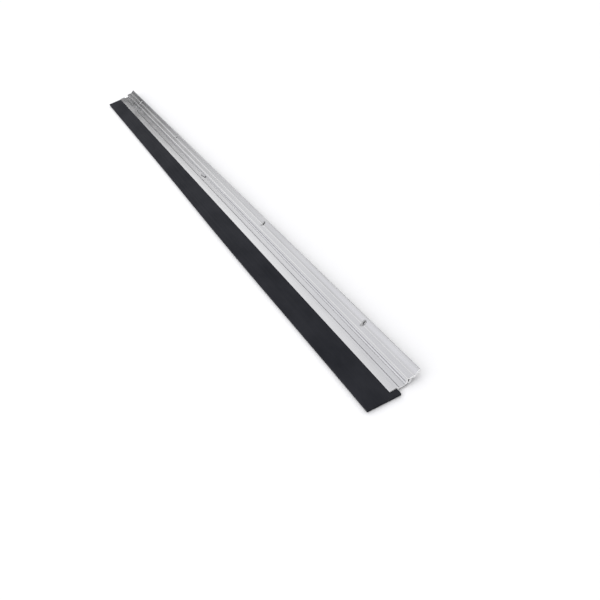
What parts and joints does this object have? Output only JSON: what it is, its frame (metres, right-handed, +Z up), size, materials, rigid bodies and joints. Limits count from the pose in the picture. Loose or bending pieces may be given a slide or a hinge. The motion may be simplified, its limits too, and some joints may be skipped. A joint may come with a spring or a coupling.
{
  "type": "door sweep",
  "caption": "Hinged, sprung door sweep: an aluminium rail for the door and a swinging aluminium carrier that grips a flat rubber blade.",
  "frame": {"origin": "bottom centre of the whole part, on the surface that the carrier lies on", "axes": "+X along the sweep's length, +Y from the rubber blade towards the fixing rail, +Z up out of the face that shows when it is fitted"},
  "size_m": [1.006, 0.0592, 0.0113],
  "materials": {
    "rail_aluminium": "mill finish, fine lengthwise die lines",
    "carrier_aluminium": "mill finish, fine lengthwise die lines",
    "blade_rubber": "matte black",
    "spring_wire": "drawn wire"
  },
  "bodies": {
    "rail": {"fixing_rail": "rail_aluminium"},
    "flap": {"blade_carrier": "carrier_aluminium", "rubber_blade": "blade_rubber", "return_spring": "spring_wire"}
  },
  "joints": [
    {"name": "flap_hinge", "type": "hinge", "parent": "rail", "child": "flap", "pos_m": [0, 0.01643, 0.00475], "axis": [-1, 0, 0], "range_deg": [-27, 18], "stiffness_Nm_per_rad": 0.13, "springref_deg": 3.61, "deforming": ["return_spring"]}
  ]
}
